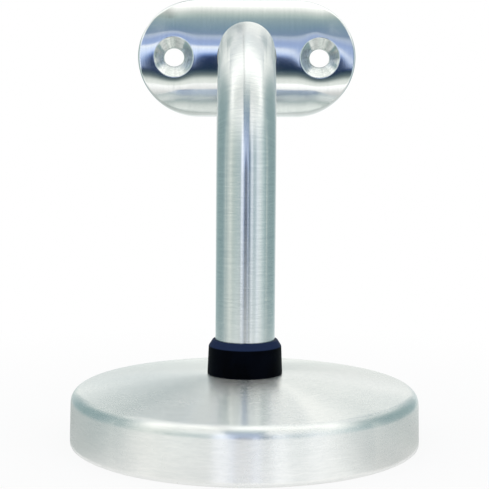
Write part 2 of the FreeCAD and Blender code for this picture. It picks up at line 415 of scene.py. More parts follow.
hole_dip = float(front_y(HOLE_X, RAIL_Z)) - REACH_Y
print("the plate's front lies %.2f mm deeper at the holes" % (1000 * hole_dip))

# %% [markdown]
# The rays start at a hole's axis. Some of them end on the outline, which is straight above
# and below and round at the end, and the others end on the plate's middle line.

# %% Rays of the plate
OUTLINE_RAYS, MIDDLE_RAYS = 181, 49
TINY = 1e-9


def ray_angles():
    """Directions from the hole that hit the outline, then those that hit the middle line.

    Both runs include the two corners where the outline meets the middle line.
    """
    corner = math.atan2(CHORD_HALF, HOLE_X)
    to_outline = np.linspace(corner - math.pi, math.pi - corner, OUTLINE_RAYS)
    to_middle = np.linspace(math.pi - corner, math.pi + corner, MIDDLE_RAYS)
    return to_outline, to_middle


def outline_hits(angle):
    """Where rays from the hole meet the stadium outline, and the inward normal there."""
    dx, dz = np.cos(angle), np.sin(angle)
    start = HOLE_X - (SADDLE_HALF - CHORD_HALF)
    to_arc = -start * dx + np.sqrt(CHORD_HALF ** 2 - (start * dz) ** 2)
    to_side = CHORD_HALF / np.maximum(np.abs(dz), TINY)
    on_arc = start + to_arc * dx > 0
    reach = np.where(on_arc, to_arc, to_side)
    x, z = HOLE_X + reach * dx, reach * dz
    nx = np.where(on_arc, -(x - SADDLE_HALF + CHORD_HALF) / CHORD_HALF, 0)
    nz = np.where(on_arc, -z / CHORD_HALF, -np.sign(dz))
    return x, z, nx, nz

# %% [markdown]
# Each surface of the half plate is now a stack of rings: front face, countersink lip, cone,
# bore, back face and the rounded rim. A ring is given by where it lies between the hole and
# the outline, and by its height.

# %% Rings of the plate
def ruled(inner, outer, steps, depth=2):
    """Rings between an inner and an outer ring, at the given steps from 0 to 1."""
    t = np.reshape(steps, (-1,) + (1,) * depth)
    return inner[None] + (outer - inner)[None] * t


def hole_ring(angle, radii):
    """Ellipse round the hole, with its two half widths."""
    return np.stack([HOLE_X + radii[0] * np.cos(angle), radii[1] * np.sin(angle)], -1)


FRONT_RINGS, LIP_RINGS, CONE_RINGS, WELL_RINGS, RIM_RINGS = 26, 4, 12, 2, 6
RING_SPREAD = 1.25
LIP_DIP = 0.04 * MM


def half_plate(angle, front_edge, back_edge, rim):
    """Rings of (x, y, z) from the outline over the front, down the hole and out again."""
    rise = np.linspace(0, 1, FRONT_RINGS) ** RING_SPREAD
    lip, sink, below, bore = (hole_ring(angle, radii) for radii in (
        SINK_R + SINK_LIP, SINK_R, SINK_R - SINK_LIP, BORE_R))
    front = ruled(lip, front_edge, rise)[::-1]
    front_height = front_y(front[..., 0], front[..., 1] + RAIL_Z)
    sink_height = front_y(sink[:, 0], sink[:, 1] + RAIL_Z)
    bore_height = REACH_Y + BORE_DEPTH + 0 * sink_height
    cone_width = (SINK_R - BORE_R).mean()
    below_height = sink_height + (bore_height - sink_height) * SINK_LIP / cone_width
    t = np.linspace(0, 1, LIP_RINGS + 2)[1:-1]
    rounded_lip = curve_through(lip, sink, below, t)
    rounded_height = curve_through(front_height[-1], sink_height - LIP_DIP, below_height, t)
    down = np.linspace(0, 1, CONE_RINGS)
    cone, cone_height = ruled(below, bore, down), ruled(below_height, bore_height, down, 1)
    back = ruled(bore, back_edge, rise)
    back_height = rolled(back[..., 1] + RAIL_Z, RAIL_R)
    well_height = ruled(bore_height, back_height[0], np.linspace(0, 1, WELL_RINGS + 2)[1:-1], 1)
    well = bore[None] + 0 * well_height[..., None]
    flat = [front, rounded_lip, cone, well, back]
    heights = [front_height, rounded_height, cone_height, well_height, back_height]
    if rim is not None:
        flat.append(rim[0])
        heights.append(rim[1])
    flat, heights = np.concatenate(flat), np.concatenate(heights)
    return np.stack([flat[..., 0], heights, flat[..., 1] + RAIL_Z], -1)

# %% [markdown]
# The plate's edges are not sharp. The grinder has taken a little off the front edge, and the
# back edge is rounded well over, so that the plate doesn't scratch the rail.

# %% Rim of the plate
def rim_rings(x, z, nx, nz):
    """Rings over the rim, from the back edge to the front edge, with a small round on each."""
    outline, inward = np.stack([x, z], -1), np.stack([nx, nz], -1)
    front_edge, back_edge = outline + PLATE_ROUND * inward, outline + BACK_ROUND * inward
    t = np.linspace(0, 1, RIM_RINGS)
    back_corner, front_corner = rolled(z + RAIL_Z, RAIL_R), front_y(x, z + RAIL_Z)
    back_start = rolled(back_edge[:, 1] + RAIL_Z, RAIL_R)
    front_start = front_y(front_edge[:, 0], front_edge[:, 1] + RAIL_Z)
    back = curve_through(back_start, back_corner, back_corner - BACK_ROUND, t)
    front = curve_through(front_start, front_corner, front_corner + PLATE_ROUND, t)
    back_lean = curve_through(back_edge, outline, outline, t)
    front_lean = curve_through(front_edge, outline, outline, t)
    rim = np.concatenate([back_lean[1:], front_lean[::-1][:-1]])
    return front_edge, back_edge, (rim, np.concatenate([back[1:], front[::-1][:-1]]))

# %% [markdown]
# The plate has two kinds of surface: its faces are ground, its holes are turned by the drill.
# They need other brush lines, so they get other guide vectors and, later, another finish.

# %% Saddle plate
CONE_LEAN, CONE_SLANT = 0.7, 1.22
CONE_GRAIN, CONE_SHIFT = 4 * MM, 0.03


def guides(points, drilled):
    """Grain and comb of the plate's points.

    The plate is ground upwards, so its comb is X. A drilled surface is turned round the
    hole: its comb runs up the cone, and its grain is (depth, cos, sin), shifted to the side
    so that the two holes don't look alike.
    """
    side = np.where(points[..., 0] < 0, -1, 1)
    off = np.stack([points[..., 0] - side * HOLE_X, points[..., 2] - RAIL_Z], -1)
    off = off / np.maximum(np.linalg.norm(off, axis=-1, keepdims=True), TINY)
    comb = np.zeros_like(points)
    comb[..., 0] = 1
    turned = np.stack([off[..., 0], 0 * off[..., 0] - CONE_LEAN, off[..., 1]], -1) / CONE_SLANT
    around_hole = np.stack([points[..., 1], off[..., 0] * CONE_GRAIN + side * CONE_SHIFT,
                            off[..., 1] * CONE_GRAIN], -1)
    drilled = drilled[:, None, None]
    return np.where(drilled, around_hole, points - (0, 0, RAIL_Z)), np.where(drilled, turned, comb)


def make_saddle(name):
    """Both halves of the plate: rays to the outline with a rim, rays to the middle without."""
    to_outline, to_middle = ray_angles()
    x, z, nx, nz = outline_hits(to_outline)
    x[[0, -1]], nx[[0, -1]] = 0, 0
    front_edge, back_edge, rim = rim_rings(x, z, nx, nz)
    z_middle = -HOLE_X * np.tan(to_middle)[:, None] * (0, 1 / CHORD_HALF)
    front_middle, back_middle = (z_middle * edge[-1, 1] for edge in (front_edge, back_edge))
    made, quads, finish, first = [], [], [], 0
    for grid, wraps in ((half_plate(to_outline, front_edge, back_edge, rim), True),
                        (half_plate(to_middle, front_middle, back_middle, None), False)):
        rows, columns = grid.shape[:2]
        row = np.arange(rows)
        drilled = (row > FRONT_RINGS) & (row < FRONT_RINGS + LIP_RINGS + CONE_RINGS + WELL_RINGS)
        faces = grid_faces(rows, columns, wraps, False)
        for side in (1, -1):
            half = grid * (side, 1, 1)
            made.append([part.reshape(-1, 3) for part in (half, *guides(half, drilled))])
            quads.append(faces[:, ::-side] + first)
            finish.append(np.repeat(drilled, columns - 1)[:len(faces)])
            first += rows * columns
    points, grain, comb = (np.concatenate(parts) for parts in zip(*made))
    return make_piece(name, points, np.concatenate(quads), grain, comb, np.concatenate(finish))


saddle_plate = make_saddle("satin_saddle_plate")
dress(saddle_plate, "bracket", "saddle_plate")

# %% [markdown]
# ## The weld beads
# A weld is laid down drop by drop, so its bead shows rows of little arcs. Here each bead is a
# hollow fillet carried round the rod, and its height swells a little with every drop.

# %% Bead surface
BEAD_HOLLOW, BEAD_SHARE = 0.32, 0.7
WANDER, WAVES, TURN = 0.15, (2, 3, 5), 6.28
CURL, BEAD_COLUMNS = 1.6, 15


def bead_surface(leg, drops, swell, around, seed):
    """Bead section over the angle a and the way t across, as distance out and height.

    The face is the curve (1-t)^2 top + 2t(1-t) hollow + t^2 toe. Each drop lifts it by
    swell (0.5 + 0.5 cos of the drop's phase), most in the middle of the face. The phase
    wanders a little on its way round, and curls back towards both edges of the face.
    """
    rng = np.random.default_rng(seed)
    a = np.linspace(0, 2 * np.pi, around, endpoint=False)[:, None]
    t = np.linspace(0, 1, BEAD_COLUMNS)[None, :]
    wander = WANDER * sum(rng.normal() * np.cos(k * a + rng.uniform(0, TURN)) for k in WAVES)
    phase = drops * a + wander + CURL * (t - 0.5) ** 2
    lift = swell * (0.5 + 0.5 * np.cos(phase)) * 4 * t * (1 - t)
    hollow = 2 * t * (1 - t) * leg * BEAD_HOLLOW
    out = leg * t ** 2 + hollow + lift * BEAD_SHARE
    up = leg * (1 - t) ** 2 + hollow + lift * BEAD_SHARE
    return a, out, up

# %% [markdown]
# One bead lies flat, between the rod and the wall flange. The other follows the saddle's
# curve, so it rises and falls as it goes round the rod's end.

# %% Both beads
def close_bead(name, points, root):
    """Close the ring grid of a bead's face with its hidden root, and make the piece."""
    full = np.concatenate([points, root[:, None]], axis=1)
    around, across = full.shape[:2]
    quads = grid_faces(around, across, True, True)
    flat = full.reshape(-1, 3)
    comb = np.broadcast_to((full[:, 1:2] - full[:, :1]), full.shape).reshape(-1, 3)
    comb = comb / np.linalg.norm(comb, axis=1)[:, None]
    return make_piece(name, flat, quads, flat, comb)


def make_flange_bead(name, leg=3.0 * MM):
    """The bead between the wall flange's face and the rod."""
    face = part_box("wall_flange")[1][2]
    a, out, up = bead_surface(leg, drops=26, swell=0.22 * MM, around=384, seed=4)
    r = ROD_R + out[:, ::-1]
    points = round_axis(r, a, face + up[:, ::-1])
    return close_bead(name, points, round_axis(ROD_R, a, face)[:, 0])


def make_saddle_bead(name, leg=1.2 * MM):
    """The bead between the rod's end and the saddle's front, which it follows."""
    a, out, up = bead_surface(leg, drops=30, swell=0.1 * MM, around=256, seed=7)
    a = -a
    r = ROD_R + out
    x, dz = r * np.cos(a), r * np.sin(a)
    seat = rolled(RAIL_Z + dz, SADDLE_R)
    points = np.stack([x, seat - up, RAIL_Z + dz], -1)
    root_z = RAIL_Z + ROD_R * np.sin(a)
    root = np.stack([ROD_R * np.cos(a), rolled(root_z, SADDLE_R), root_z], -1)[:, 0]
    return close_bead(name, points, root)


flange_weld = dress(make_flange_bead("flange_weld_bead"), "bracket", "flange_weld")
saddle_weld = dress(make_saddle_bead("saddle_weld_bead"), "bracket", "saddle_weld")

# %% [markdown]
# ## Building blocks for the finishes
# Brush lines and cloudy handling marks turn up on every steel piece, each time in another
# size. So each effect is a node group, built once, with named inputs for its sizes and named
# outputs that a material may use or leave alone.

# %% Node helpers
def new_group(name, inputs, outputs):
    """Empty shader group with (name, kind, default) inputs and (name, kind) outputs."""
    group = bpy.data.node_groups.new(name, "ShaderNodeTree")
    for label, kind, default in inputs:
        socket = group.interface.new_socket(label, in_out="INPUT", socket_type="NodeSocket" + kind)
        if default is not None:
            socket.default_value = default
    for label, kind in outputs:
        group.interface.new_socket(label, in_out="OUTPUT", socket_type="NodeSocket" + kind)
    return group, group.nodes.new("NodeGroupInput"), group.nodes.new("NodeGroupOutput")


def node(tree, kind, inputs=None, **settings):
    """A node of a kind, with its settings, and with its inputs set or linked by name."""
    made = tree.nodes.new("ShaderNode" + kind)
    for key, value in settings.items():
        setattr(made, key, value)
    for key, value in (inputs or {}).items():
        if isinstance(value, bpy.types.NodeSocket):
            tree.links.new(value, made.inputs[key])
        else:
            made.inputs[key].default_value = value
    return made


def maths(tree, operation, a, b=0.0, clamp=False):
    """Result of a Math node."""
    return node(tree, "Math", {0: a, 1: b}, operation=operation, use_clamp=clamp).outputs[0]


def sized(tree, vector, size):
    """A vector times a size, each coordinate by its own."""
    return node(tree, "VectorMath", {0: vector, 1: size}, operation="MULTIPLY").outputs[0]


def length_of(tree, vector):
    """Length of a vector."""
    return node(tree, "VectorMath", {0: vector}, operation="LENGTH").outputs["Value"]


def weighed(tree, a, share_a, b, share_b):
    """a times its share plus b times its share."""
    return maths(tree, "ADD", maths(tree, "MULTIPLY", a, share_a),
                 maths(tree, "MULTIPLY", b, share_b))

# %% [markdown]
# ### Brush lines
# Satin steel is ground with a belt. Every grain of the belt leaves a groove, so the surface
# is noise stretched a hundred times longer along the belt than across it. Two layers make it
# believable: broad streaks that the eye picks up, and a fine grain that only softens light.

# %% Brush lines group
brush_lines, here, out = new_group(
    "brush lines",
    [("Guide", "Vector", None), ("Streak Size", "Vector", (900, 900, 9)),
     ("Grain Size", "Vector", (4200, 4200, 40))],
    [("Streaks", "Float"), ("Grain", "Float")])
streak_at = sized(brush_lines, here.outputs["Guide"], here.outputs["Streak Size"])
grain_at = sized(brush_lines, here.outputs["Guide"], here.outputs["Grain Size"])
streak_noise = node(brush_lines, "TexNoise", {
    "Vector": streak_at, "Scale": 1.0, "Detail": 3.0, "Roughness": 0.65})
grain_noise = node(brush_lines, "TexNoise", {
    "Vector": grain_at, "Scale": 1.0, "Detail": 2.0, "Roughness": 0.6})
brush_lines.links.new(streak_noise.outputs["Fac"], out.inputs["Streaks"])
brush_lines.links.new(grain_noise.outputs["Fac"], out.inputs["Grain"])
print("brush lines:", len(brush_lines.nodes), "nodes")

# %% [markdown]
# ### Handling marks
# No bracket leaves the shop untouched. Fingers and polishing cloths leave faint clouds in the
# gloss, and the odd short scratch. Clouds are soft noise. Scratches come from stretched
# cells: where a point is almost the same distance from two cells, there is a thin line.

# %% Handling marks group
def between(tree, value, low, high, start=0.3, stop=0.7):
    """Rescale a value from start..stop to low..high, and hold it there outside that range."""
    return node(tree, "MapRange", {"Value": value, "From Min": start, "From Max": stop,
                                   "To Min": low, "To Max": high}).outputs["Result"]


handling, here, out = new_group(
    "handling marks",
    [("Place", "Vector", None), ("Cloud Scale", "Float", 60.0),
     ("Scratch Size", "Vector", (240, 240, 110))],
    [("Clouds", "Float"), ("Scratches", "Float")])
clouds = node(handling, "TexNoise", {
    "Vector": here.outputs["Place"], "Scale": here.outputs["Cloud Scale"], "Detail": 3.0,
    "Roughness": 0.55, "Distortion": 0.4})
scratch_at = sized(handling, here.outputs["Place"], here.outputs["Scratch Size"])
cells = node(handling, "TexVoronoi", {"Vector": scratch_at, "Scale": 1.0, "Randomness": 1.0},
             feature="DISTANCE_TO_EDGE")
thin = between(handling, cells.outputs["Distance"], 1.0, 0.0, 0.0, 0.012)
rare = node(handling, "TexNoise", {"Vector": scratch_at, "Scale": 1.7, "Detail": 1.0})
some = between(handling, rare.outputs["Fac"], 0.0, 1.0, 0.60, 0.68)
line = maths(handling, "MULTIPLY", thin, some)
handling.links.new(clouds.outputs["Fac"], out.inputs["Clouds"])
handling.links.new(line, out.inputs["Scratches"])
print("handling marks:", len(handling.nodes), "nodes")

# %% [markdown]
# ### Satin steel
# Rod, saddle, countersinks, cap and weld beads are the same metal: its colour changes a little
# with the streaks, its gloss changes with clouds and grain, and it smears reflections across
# the grooves. Only the sizes differ, so one function builds all five finishes. The smear is
# the shader's anisotropy, laid along each piece's own "comb" directions.

# %% Material helpers
def mixed(tree, factor, a, b, **settings):
    """Colour that goes from a to b as the factor goes from 0 to 1."""
    return node(tree, "Mix", {"Factor": factor, "A": a, "B": b}, data_type="RGBA",
                **settings).outputs["Result"]


def own_place(tree):
    """Coordinates in the piece's own frame, in metres."""
    return node(tree, "TexCoord").outputs["Object"]


def new_material(name):
    """A material with its node tree and its shader."""
    material = bpy.data.materials.new(name)
    material.use_nodes = True
    return material, material.node_tree, material.node_tree.nodes["Principled BSDF"]


def fit(tree, shader, colour, rough, height, bump, depth):
    """Give a shader its colour, its roughness and a relief that is depth mm deep."""
    relief = node(tree, "Bump", {"Height": height, "Strength": bump, "Distance": depth * MM})
    for label, value in (("Base Color", colour), ("Roughness", rough),
                         ("Normal", relief.outputs["Normal"])):
        tree.links.new(value, shader.inputs[label])

# %% [markdown]
# The colour moves between a base colour and a darker shade with the brush lines. Clouds and
# scratches change the gloss, and the lines and scratches also make a very shallow relief.

# %% Satin steel
SCRATCH_GLOSS, SCRATCH_DEPTH = 0.05, 0.25


def satin_steel(name, colour, shade, gloss, smear, streak_size, grain_size, bump, depth=0.02):
    """Steel with a base colour, a darker shade in its streaks and a range of roughness."""
    material, tree, shader = new_material(name)
    unrolled = node(tree, "Attribute", attribute_name="grain").outputs["Vector"]
    brush = node(tree, "Group", {"Guide": unrolled}, node_tree=brush_lines)
    marks = node(tree, "Group", {"Place": own_place(tree)}, node_tree=handling)
    brush.inputs["Streak Size"].default_value = streak_size
    brush.inputs["Grain Size"].default_value = grain_size
    streaks, grain = brush.outputs["Streaks"], brush.outputs["Grain"]
    lines = weighed(tree, streaks, 0.5, grain, 0.5)
    tint = mixed(tree, between(tree, lines, 0.0, 1.0, 0.35, 0.65), (*shade, 1), (*colour, 1))
    rough = maths(tree, "ADD", between(tree, marks.outputs["Clouds"], -0.02, 0.02),
                  between(tree, grain, gloss[0], gloss[1]))
    scratched = maths(tree, "MULTIPLY", marks.outputs["Scratches"], SCRATCH_GLOSS)
    rough = maths(tree, "ADD", rough, scratched, True)
    scratched = maths(tree, "MULTIPLY", marks.outputs["Scratches"], SCRATCH_DEPTH)
    height = maths(tree, "SUBTRACT", weighed(tree, streaks, 0.6, grain, 0.4), scratched)
    fit(tree, shader, tint, rough, height, bump, depth)
    shader.inputs["Metallic"].default_value = 1.0
    shader.inputs["Anisotropic"].default_value = smear
    if smear > 0:
        comb = node(tree, "Attribute", attribute_name="comb").outputs["Vector"]
        comb = node(tree, "VectorTransform", {"Vector": comb}, vector_type="VECTOR",
                    convert_from="OBJECT", convert_to="WORLD").outputs["Vector"]
        tree.links.new(comb, shader.inputs["Tangent"])
    print(name, "has", len(tree.nodes), "nodes")
    return material

# %% [markdown]
# The rod and the cap are ground with a coarse belt and smear most. The saddle is nearly
# polished. Its countersinks keep the drill's marks, and the weld beads have no direction.

# %% Five steels
rod_finish = satin_steel(
    "ground rod steel", colour=(0.88, 0.89, 0.87), shade=(0.72, 0.75, 0.75),
    gloss=(0.17, 0.20), smear=1.0, streak_size=(140, 140, 4200), grain_size=(500, 500, 9000),
    bump=0.12)
saddle_finish = satin_steel(
    "ground saddle steel", colour=(0.84, 0.86, 0.85), shade=(0.77, 0.80, 0.79),
    gloss=(0.09, 0.11), smear=0.3, streak_size=(3000, 60, 60), grain_size=(7000, 300, 300),
    bump=0.08)
sink_finish = satin_steel(
    "countersunk steel", colour=(0.97, 0.98, 0.95), shade=(0.60, 0.64, 0.62),
    gloss=(0.16, 0.22), smear=0.7, streak_size=(60, 520, 520), grain_size=(6000, 500, 500),
    bump=0.4, depth=0.06)
cap_finish = satin_steel(
    "satin cap steel", colour=(0.93, 0.935, 0.915), shade=(0.84, 0.855, 0.84),
    gloss=(0.24, 0.275), smear=1.0, streak_size=(1800, 260, 260), grain_size=(6000, 1100, 1100),
    bump=0.11)
weld_finish = satin_steel(
    "weld bead steel", colour=(0.68, 0.66, 0.62), shade=(0.42, 0.38, 0.36),
    gloss=(0.26, 0.40), smear=0.0, streak_size=(400, 400, 400), grain_size=(3000, 3000, 3000),
    bump=0.5)
for piece, finish in ((arm_rod, rod_finish), (saddle_plate, saddle_finish), (cover_cap, cap_finish),
                      (flange_weld, weld_finish), (saddle_weld, weld_finish)):
    piece.data.materials.append(finish)
saddle_plate.data.materials.append(sink_finish)

# %% [markdown]
# ### Turned flange
# The wall flange hides under the cap. Its frame node already has the right shape, so it only
# gets a finish: fine rings from the lathe tool, which are a wave of the distance to the axis.

# %% Turned flange steel
RING_WOBBLE, RINGS_PER_METRE = 0.1 * MM, 15700 / (2 * math.pi)
flange_finish, tree, shader = new_material("turned flange steel")
place = own_place(tree)
from_axis = length_of(tree, sized(tree, place, (1, 1, 0)))
wobble = node(tree, "TexNoise", {"Vector": place, "Scale": 120.0, "Detail": 2.0}).outputs["Fac"]
cut_at = maths(tree, "ADD", from_axis, maths(tree, "MULTIPLY", wobble, RING_WOBBLE))
rings = maths(tree, "SINE", maths(tree, "MULTIPLY", cut_at, 2 * math.pi * RINGS_PER_METRE))
marks = node(tree, "Group", {"Place": place}, node_tree=handling)
tint = mixed(tree, between(tree, marks.outputs["Clouds"], 0.0, 1.0),
             (0.60, 0.62, 0.62, 1), (0.70, 0.72, 0.71, 1))
fit(tree, shader, tint, between(tree, rings, 0.28, 0.36, -1, 1), rings, bump=0.3, depth=0.02)
shader.inputs["Metallic"].default_value = 1.0
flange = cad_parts["wall_flange"]
flange.data.materials.clear()
flange.data.materials.append(flange_finish)
print("flange: one ring every %.2f mm" % (1000 / RINGS_PER_METRE))

# %% [markdown]
# ### Rubber
# Black rubber is never quite black or quite even: it has a bluish bloom and a fine skin from the
# mould. Its top, from the chamfer up, is painted paler and bluer: a painted sheen that stands
# in for the overhead light the chamfer catches.

# %% Collar rubber
# Height where the painted sheen on the collar's top begins, and how softly it fades in
PAINTED_SHEEN_Z, PAINTED_SHEEN_SOFT = COLLAR_TOP - COLLAR_CHAMFER, 0.1 * MM
rubber, tree, shader = new_material("black collar rubber")
place = own_place(tree)
skin = node(tree, "TexNoise", {"Vector": place, "Scale": 3500.0, "Detail": 3.0}).outputs["Fac"]
marks = node(tree, "Group", {"Place": place, "Cloud Scale": 180.0}, node_tree=handling)
bloom = between(tree, marks.outputs["Clouds"], 0.0, 1.0)
tint = mixed(tree, bloom, (0.0002, 0.0004, 0.0010, 1), (0.0010, 0.0022, 0.0060, 1))
height = node(tree, "SeparateXYZ", {"Vector": place}).outputs["Z"]
# Painted sheen: from the chamfer up the rubber is coloured paler blue, in place of the light it
# reflects
painted_top_sheen = between(tree, height, 0.0, 1.0, PAINTED_SHEEN_Z - PAINTED_SHEEN_SOFT, PAINTED_SHEEN_Z + PAINTED_SHEEN_SOFT)
tint = mixed(tree, painted_top_sheen, tint, (0.015, 0.026, 0.070, 1))
rough = maths(tree, "ADD", between(tree, skin, 0.40, 0.50), maths(tree, "MULTIPLY", bloom, 0.08))
fit(tree, shader, tint, rough, skin, bump=0.4, depth=0.03)
shader.inputs["Specular IOR Level"].default_value = 0.02
collar_ring.data.materials.append(rubber)
print("rubber has", len(tree.nodes), "nodes")

# %% [markdown]
# ## The studio
# Bare metal has hardly any colour of its own: it shows the room. A white tent alone would
# leave it flat, so grey and black cards are hung round it, out of sight. Here the floor is
# white paper, the world is a white room, and a ring of cards stands round the bracket. The
# camera itself never sees the cards, only the metal does.
#
# ### Floor
# The paper is plain white further out, and takes the bracket's soft shadow close to it.

# %% Floor
def grid_object(name, points, rows, columns, wrap_columns=False):
    """Plain mesh of a grid, for things that aren't part of the bracket."""
    mesh = bpy.data.meshes.new(name)
    faces = grid_faces(rows, columns, False, wrap_columns)
    mesh.from_pydata(points.reshape(-1, 3).tolist(), [], faces.tolist())
    mesh.update()
    thing = bpy.data.objects.new(name, mesh)
    bpy.context.scene.collection.objects.link(thing)
    return thing


def shown_rays(tree):
    """1 for rays from the camera, off metal or through glass, 0 for those that only light."""
    path = node(tree, "LightPath")
    seen = maths(tree, "MAXIMUM", path.outputs["Is Camera Ray"], path.outputs["Is Glossy Ray"])
    return maths(tree, "MAXIMUM", seen, path.outputs["Is Transmission Ray"])


FLOOR_HALF = 12.0
SHADOW_FROM, SHADOW_TO = 0.045, 0.16
corners = np.array([[-1, -1, 0], [1, -1, 0], [-1, 1, 0], [1, 1, 0]]) * FLOOR_HALF
floor = grid_object("paper_floor", corners, 2, 2)
paper, tree, _ = new_material("white paper")
tree.nodes.clear()
distance = length_of(tree, own_place(tree))
fade = between(tree, distance, 0.86, 1.0, SHADOW_FROM, SHADOW_TO)
lit = node(tree, "BsdfDiffuse", {"Color": (0.86, 0.86, 0.86, 1)})
plain = node(tree, "Emission", {"Color": (1, 1, 1, 1), "Strength": 1.0})
blend = node(tree, "MixShader", {0: maths(tree, "MULTIPLY", fade, shown_rays(tree)),
                                 1: lit.outputs[0], 2: plain.outputs[0]})
node(tree, "OutputMaterial", {"Surface": blend.outputs[0]})
floor.data.materials.append(paper)
print("paper floor: %.0f m wide" % (2 * FLOOR_HALF))

# %% [markdown]
# ### World
# The room round the table is white. It looks plain white, but lights the bracket with a
# slightly weaker and cooler white, as a real tent does.

# %% World
world = bpy.data.worlds.new("white room")
bpy.context.scene.world = world
world.use_nodes = True
tree = world.node_tree
tree.nodes.clear()
soft = node(tree, "Background", {"Color": (0.97, 0.985, 1.0, 1), "Strength": 0.8})
seen = node(tree, "Background", {"Color": (1, 1, 1, 1), "Strength": 1.0})
blend = node(tree, "MixShader", {0: shown_rays(tree), 1: soft.outputs[0], 2: seen.outputs[0]})
node(tree, "OutputWorld", {"Surface": blend.outputs[0]})
print("world:", world.name)

# %% [markdown]
# ### Cards
# The cards make the pattern that steel shows. In a real studio they are painted boards. Here
# each is a glowing surface, whose colour follows a ramp across it or round the bracket.

# %% Card helpers
def ramp_of(tree, factor, stops):
    """Colour that follows a factor from 0 to 1 through (position, colour) stops."""
    ramp = node(tree, "ValToRGB", {"Fac": factor})
    elements = ramp.color_ramp.elements
    while len(elements) < len(stops):
        elements.new(0.5)
    for element, (position, colour) in zip(elements, sorted(stops)):
        element.position = position
        element.color = (*colour, 1)
    return ramp.outputs["Color"]


def part_of(tree, axis):
    """One of the object's own coordinates: X, Y or Z."""
    return node(tree, "SeparateXYZ", {"Vector": own_place(tree)}).outputs[axis]


def turn_from_front(tree):
    """Way round the bracket: 0.5 is straight in front, 0.75 on the right, 0 and 1 behind."""
    back = maths(tree, "MULTIPLY", part_of(tree, "Y"), -1.0)
    angle = maths(tree, "ARCTAN2", part_of(tree, "X"), back)
    return maths(tree, "ADD", maths(tree, "DIVIDE", angle, 2 * math.pi), 0.5)


def card(name, points, rows, columns, colour_of, wrap=False):
    """A glowing card that only metal sees: no camera, no light or shadow of its own."""
    thing = grid_object(name, points, rows, columns, wrap)
    material, tree, _ = new_material(name + " glow")
    tree.nodes.clear()
    glow = node(tree, "Emission", {"Color": colour_of(tree), "Strength": 1.0})
    node(tree, "OutputMaterial", {"Surface": glow.outputs[0]})
    thing.data.materials.append(material)
    thing.visible_camera = False
    thing.visible_diffuse = False
    thing.visible_shadow = False
    print("%s: %d faces" % (name, len(thing.data.polygons)))


def rectangle(half, low, high, place):
    """Corners of a card, from -half to half along X and from low to high the other way.

    The function place turns these two into a point.
    """
    return np.array([place(x, other) for other in (low, high) for x in (-half, half)])

# %% [markdown]
# #### Horizon
# A far ring of cards gives the horizon its shades. It begins on the table, outside the apron,
# and stands up like a wall that turns into plain white tent higher up.

# %% Horizon ring
def around(*stops):
    """Ramp stops from (degrees from the front, right positive, colour) pairs."""
    return [(0.5 + angle / 360, colour) for angle, colour in stops]


HORIZON = around(
    (-180, (0.85, 0.90, 0.88)), (-177, (0.66, 0.72, 0.73)), (-173, (0.80, 0.86, 0.86)),
    (-169, (0.95, 0.98, 0.98)), (-160, (0.66, 0.74, 0.72)), (-150, (0.38, 0.49, 0.51)),
    (-105, (0.24, 0.36, 0.38)), (-90, (0.28, 0.39, 0.41)), (-75, (0.55, 0.63, 0.62)),
    (-62, (0.74, 0.80, 0.76)), (-50, (0.52, 0.61, 0.59)), (-36, (0.46, 0.57, 0.58)),
    (-21, (0.46, 0.56, 0.60)), (-16.5, (1.10, 1.18, 1.38)), (-11.5, (1.13, 1.21, 1.40)),
    (-8.5, (0.16, 0.24, 0.36)), (14.5, (0.10, 0.18, 0.27)), (18, (0.60, 0.70, 0.84)),
    (23, (0.84, 0.92, 1.02)), (29, (0.44, 0.55, 0.62)), (36, (0.44, 0.55, 0.61)),
    (44, (0.80, 0.88, 0.95)), (56, (0.78, 0.86, 0.88)), (68, (0.54, 0.66, 0.68)),
    (80, (0.36, 0.48, 0.50)), (100, (0.27, 0.39, 0.41)), (135, (0.35, 0.47, 0.49)),
    (150, (0.56, 0.66, 0.68)), (162, (0.70, 0.76, 0.76)), (171, (0.95, 0.96, 0.94)),
    (177, (0.86, 0.90, 0.88)))
RING_INNER, RING_R, RING_HIGH, CARD_LIFT = 0.12, 0.75, 0.75, 0.4 * MM
TENT_FROM, TENT_FULL, TENT = 0.33, 0.62, (1.20, 1.21, 1.18, 1)
RING_COLUMNS = 128


def ring_of(radii, heights):
    """Grid of points on circles round the Z axis, one for each radius and height."""
    turn = np.linspace(0, 2 * np.pi, RING_COLUMNS, endpoint=False)[None, :]
    return round_axis(np.array(radii)[:, None], turn, np.array(heights)[:, None])


def ring_glow(tree):
    """Colours of the horizon, which turn into plain white tent on the way up."""
    high = between(tree, part_of(tree, "Z"), 0.0, 1.0, TENT_FROM, TENT_FULL)
    return mixed(tree, high, ramp_of(tree, turn_from_front(tree), HORIZON), TENT)


ring_points = ring_of((RING_INNER, RING_R, RING_R), (CARD_LIFT, CARD_LIFT, RING_HIGH))
card("card_ring", ring_points, 3, RING_COLUMNS, ring_glow, True)

# %% [markdown]
# #### Apron
# A low apron lies on the table, from just outside the cap's edge out to the ring. It gives the
# side of the cap its soft change from grey to white and back.

